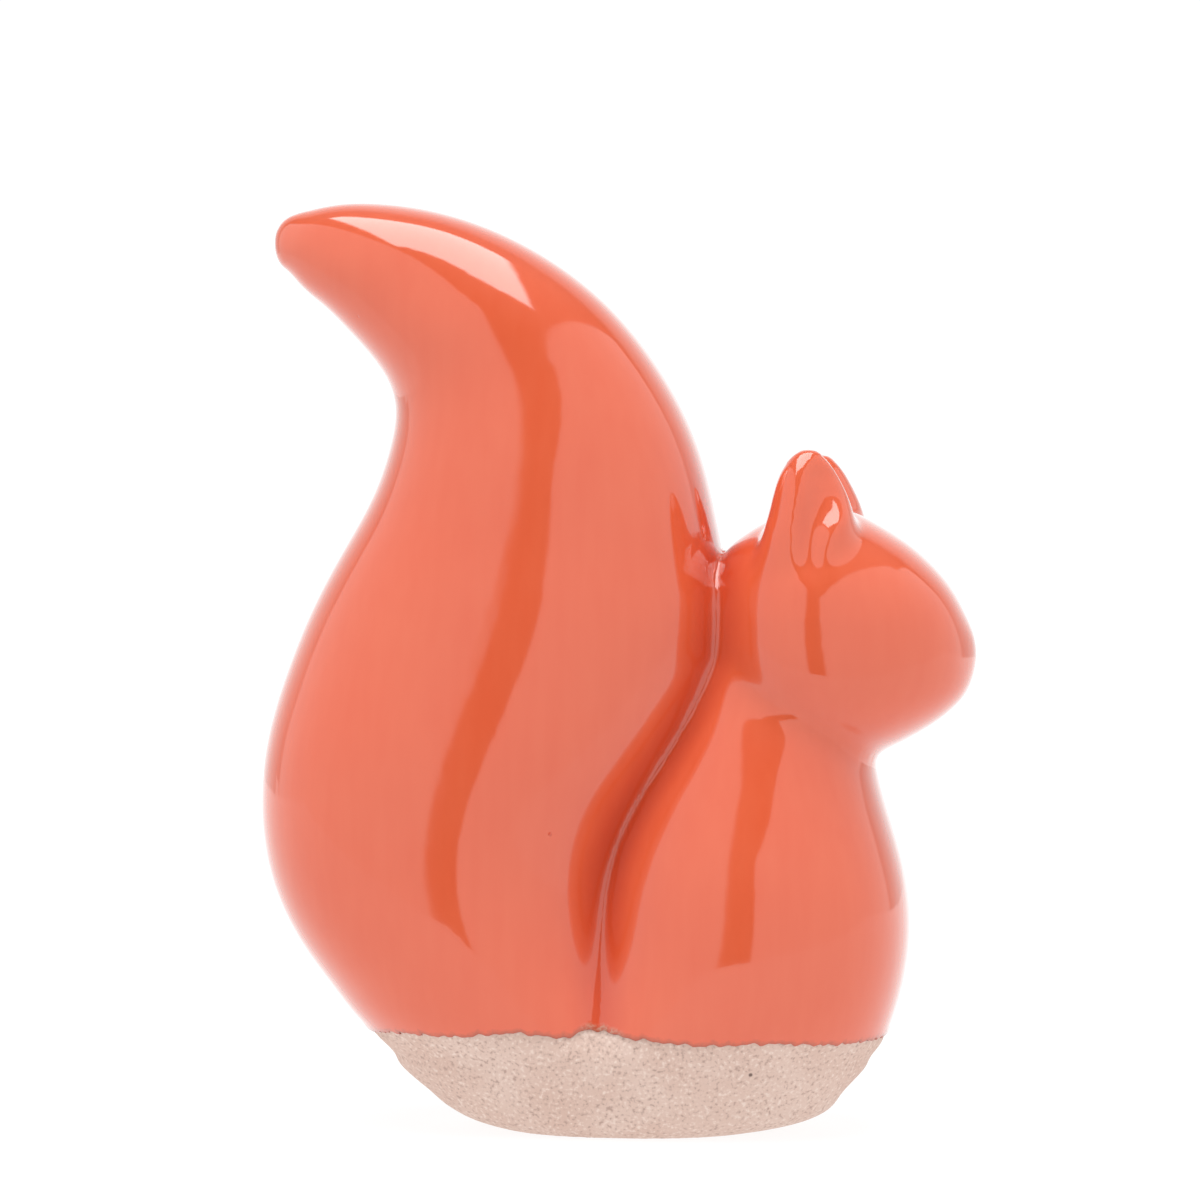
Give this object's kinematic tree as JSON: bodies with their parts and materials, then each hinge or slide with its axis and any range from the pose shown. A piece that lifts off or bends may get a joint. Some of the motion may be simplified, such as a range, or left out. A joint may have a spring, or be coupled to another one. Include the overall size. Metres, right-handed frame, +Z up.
{
  "type": "squirrel figurine",
  "caption": "Smooth stylised squirrel ornament with a tall curled tail, glossy coral glaze over a bare clay foot.",
  "frame": {"origin": "on the surface it stands on, under the middle of the whole figure", "axes": "+Z up, +X the way the squirrel faces, Y across its width; alike on both sides of Y = 0"},
  "size_m": [0.1236, 0.06, 0.16],
  "materials": {
    "bare_clay": "matte, sandy, unglazed",
    "coral_glaze": "glossy coral-orange glaze",
    "joining_slip": "matte joining slip"
  },
  "bodies": {
    "root": {"tail_casting": "bare_clay", "torso_casting": "bare_clay", "head_casting": "bare_clay", "right_ear": "bare_clay", "left_ear": "bare_clay", "tail_joint_slip": "joining_slip", "neck_joint_slip": "joining_slip", "tail_glaze": "coral_glaze", "torso_glaze": "coral_glaze", "head_glaze": "coral_glaze", "right_ear_glaze": "coral_glaze", "left_ear_glaze": "coral_glaze"}
  },
  "joints": []
}
